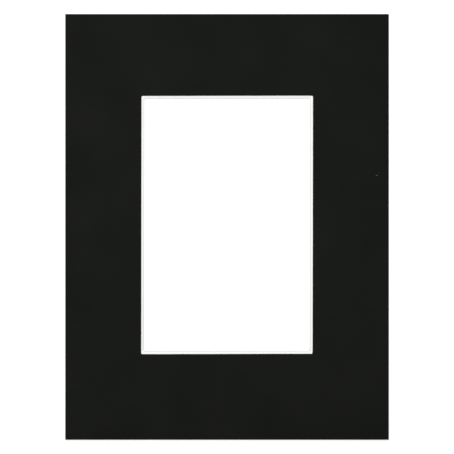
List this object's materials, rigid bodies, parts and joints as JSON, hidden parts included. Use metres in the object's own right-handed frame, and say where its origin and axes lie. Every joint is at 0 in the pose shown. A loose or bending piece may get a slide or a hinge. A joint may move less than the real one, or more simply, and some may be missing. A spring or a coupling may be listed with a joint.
{
  "type": "picture mount",
  "caption": "Flat black mount board with a white core and a bevel-cut portrait window, to sit between a photo print and the glass of a frame.",
  "frame": {"origin": "middle of the back of the board, in the plane that it lies on", "axes": "+X across the width, +Y to the top edge of the upright picture, +Z out of the black face"},
  "size_m": [0.19, 0.25, 0.0018],
  "materials": {
    "white_core": "matte",
    "black_facing": "matte"
  },
  "bodies": {
    "root": {"core_board": "white_core", "face_paper": "black_facing"}
  },
  "joints": []
}
